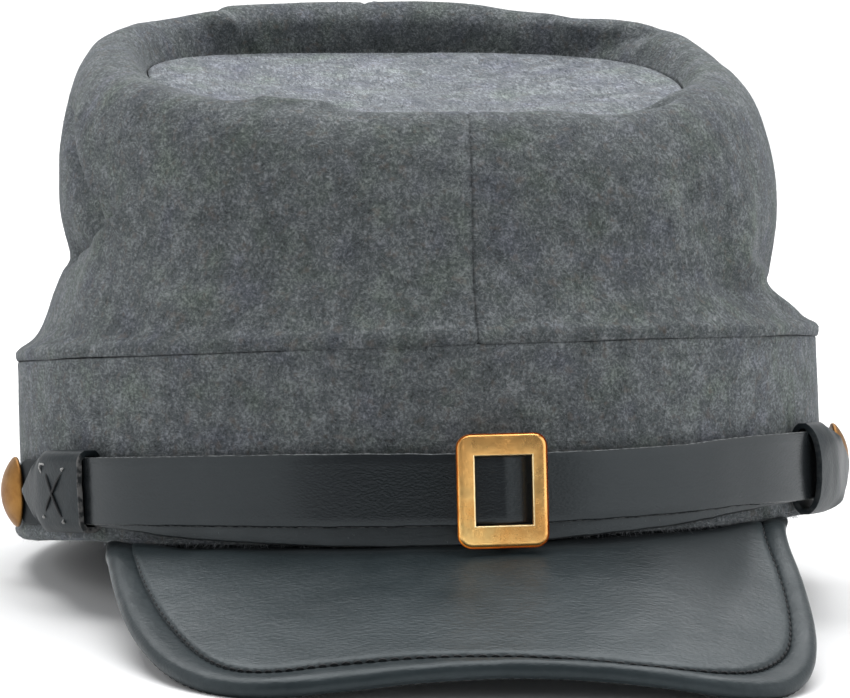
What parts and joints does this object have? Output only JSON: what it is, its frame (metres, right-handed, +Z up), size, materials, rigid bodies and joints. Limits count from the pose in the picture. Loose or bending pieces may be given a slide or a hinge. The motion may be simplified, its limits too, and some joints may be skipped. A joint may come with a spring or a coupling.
{
  "type": "kepi cap",
  "caption": "Wool cloth kepi with a sunken tilted crown, upright band, bound leather visor and a leather chin strap held by a sliding brass buckle, keepers and buttons.",
  "frame": {"origin": "on the surface the cap rests on, under the middle of its bounding box", "axes": "+Z up, -Y ahead in the wearer's facing direction towards the visor, +X towards the right side as seen from the front"},
  "size_m": [0.1856, 0.2567, 0.1255],
  "materials": {
    "grey_wool": "mottled grey milled wool cloth with a short nap",
    "grey_wool_tip": "the same cloth, a little lighter where the top catches the light",
    "grey_wool_band": "the same cloth, doubled and stiff",
    "black_visor_leather": "black fine-grained leather with a soft sheen",
    "black_binding_leather": "thin black leather, folded and stitched",
    "black_strap_leather": "smooth polished black leather",
    "black_inner_strap_leather": "smooth black leather",
    "black_keeper_leather": "black leather with raw tan cut edges",
    "polished_brass": "polished cast brass, lightly scratched",
    "satin_brass": "dull domed brass"
  },
  "bodies": {
    "root": {"crown_side": "grey_wool", "crown_tip": "grey_wool_tip", "band": "grey_wool_band", "visor": "black_visor_leather", "visor_binding": "black_binding_leather", "strap_outer": "black_strap_leather", "strap_inner": "black_inner_strap_leather", "keeper_left": "black_keeper_leather", "keeper_right": "black_keeper_leather", "buckle": "polished_brass", "button_left": "satin_brass", "button_right": "satin_brass"}
  },
  "joints": []
}
